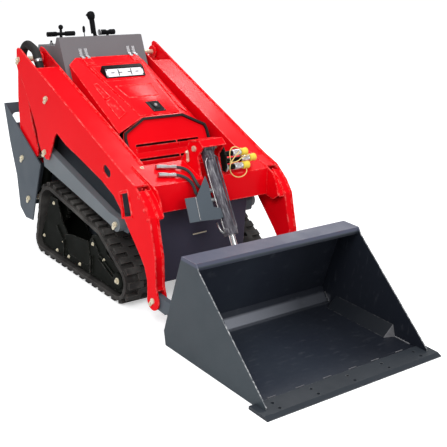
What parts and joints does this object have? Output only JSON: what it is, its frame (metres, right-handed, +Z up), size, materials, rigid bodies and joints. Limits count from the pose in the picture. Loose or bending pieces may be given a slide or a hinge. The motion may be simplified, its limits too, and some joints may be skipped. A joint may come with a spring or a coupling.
{
  "type": "compact track loader",
  "caption": "Small stand-on loader on rubber tracks, with raising arms, links, hydraulic cylinders, a louvred engine cover and a wide bucket.",
  "frame": {"origin": "on the ground below the middle of the overall box, tracks standing on z = 0", "axes": "+Z up, -Y towards the bucket, +Y towards the operator's platform, +X to the machine's left"},
  "size_m": [1.18, 2.721, 1.4022],
  "materials": {
    "red_paint": "gloss",
    "slate_paint": "satin",
    "grey_paint": "satin",
    "black_paint": "satin",
    "track_rubber": "matte",
    "bare_steel": "satin",
    "zinc": "satin",
    "rod_chrome": "polished",
    "black_plastic": "matte",
    "yellow_plastic": "matte",
    "seal_rubber": "matte",
    "cast_grey": "matte"
  },
  "bodies": {
    "chassis": {"track_left": "track_rubber", "track_right": "track_rubber", "idler_wheels": "black_paint", "track_rollers": "black_paint", "drive_sprockets": "black_paint", "track_frames": "black_paint", "main_frame": "slate_paint", "front_guard": "slate_paint", "rear_guards": "slate_paint", "rear_apron": "slate_paint", "console": "grey_paint", "engine": "cast_grey", "grille_panel": "red_paint", "hood_seal": "seal_rubber", "control_levers": "black_plastic", "chassis_pins": "zinc", "platform_mounts": "slate_paint", "hinge_leaves": "bare_steel"},
    "rear_links": {"rear_links": "red_paint"},
    "control_links": {"control_links": "slate_paint"},
    "loader_arms": {"arm_left": "red_paint", "arm_right": "red_paint", "cross_member": "red_paint", "tilt_mount": "red_paint", "hose_sleeve": "seal_rubber", "arm_pins": "zinc", "tilt_pin": "zinc", "coupler_block": "bare_steel", "coupler_caps": "yellow_plastic", "hose_fittings": "bare_steel"},
    "lift_barrels": {"lift_barrels": "black_paint"},
    "lift_rods": {"lift_rods": "rod_chrome"},
    "tilt_barrel": {"tilt_barrel": "slate_paint", "hose_guard": "slate_paint"},
    "tilt_rod": {"tilt_rod": "rod_chrome"},
    "bucket": {"bucket_shell": "slate_paint", "cutting_edge": "slate_paint", "attach_plate": "slate_paint"},
    "hood": {"hood": "red_paint", "light_bar": "black_plastic", "hood_hinges": "bare_steel"},
    "platform": {"operator_platform": "slate_paint"}
  },
  "joints": [
    {"name": "lift", "type": "hinge", "parent": "rear_links", "child": "loader_arms", "pos_m": [0, 1.1625, 1.13], "axis": [-1, 0, 0], "range_deg": [0, 93.46]},
    {"name": "rear_link_swing", "type": "hinge", "parent": "chassis", "child": "rear_links", "pos_m": [0, 1.1155, 0.537], "axis": [1, 0, 0], "range_deg": [0, 27.47]},
    {"name": "control_link_swing", "type": "hinge", "parent": "chassis", "child": "control_links", "pos_m": [0, 0.0745, 0.436], "axis": [1, 0, 0], "range_deg": [0, 57.46]},
    {"name": "lift_cylinder_swing", "type": "hinge", "parent": "chassis", "child": "lift_barrels", "pos_m": [0, 1.0315, 0.301], "axis": [1, 0, 0], "range_deg": [0, 5.46]},
    {"name": "lift_rod_slide", "type": "slide", "parent": "lift_barrels", "child": "lift_rods", "axis": [0, -0.3011, 0.9536], "range_m": [0, 0.42021]},
    {"name": "tilt", "type": "hinge", "parent": "loader_arms", "child": "bucket", "pos_m": [0, -0.3205, 0.145], "axis": [1, 0, 0], "range_deg": [-20, 105]},
    {"name": "tilt_cylinder_swing", "type": "hinge", "parent": "loader_arms", "child": "tilt_barrel", "pos_m": [0, -0.0595, 0.846], "axis": [1, 0, 0], "range_deg": [-0.91, 4.79]},
    {"name": "tilt_rod_slide", "type": "slide", "parent": "tilt_barrel", "child": "tilt_rod", "axis": [0, -0.5378, -0.843], "range_m": [-0.05955, 0.31263]},
    {"name": "hood", "type": "hinge", "parent": "chassis", "child": "hood", "pos_m": [0, 0.9565, 1.157], "axis": [-1, 0, 0], "range_deg": [0, 62]},
    {"name": "platform", "type": "hinge", "parent": "chassis", "child": "platform", "pos_m": [0, 1.1765, 0.226], "axis": [-1, 0, 0], "range_deg": [0, 68]}
  ],
  "couplings": [
    {"joint": "rear_link_swing", "follows": "lift", "ratio": 0.29379},
    {"joint": "control_link_swing", "follows": "lift", "ratio": 0.61456},
    {"joint": "lift_cylinder_swing", "follows": "lift", "ratio": 0.058364},
    {"joint": "lift_rod_slide", "follows": "lift", "m_per_rad": 0.25749},
    {"joint": "tilt_cylinder_swing", "follows": "tilt", "ratio": 0.045594},
    {"joint": "tilt_rod_slide", "follows": "tilt", "m_per_rad": 0.17051}
  ]
}
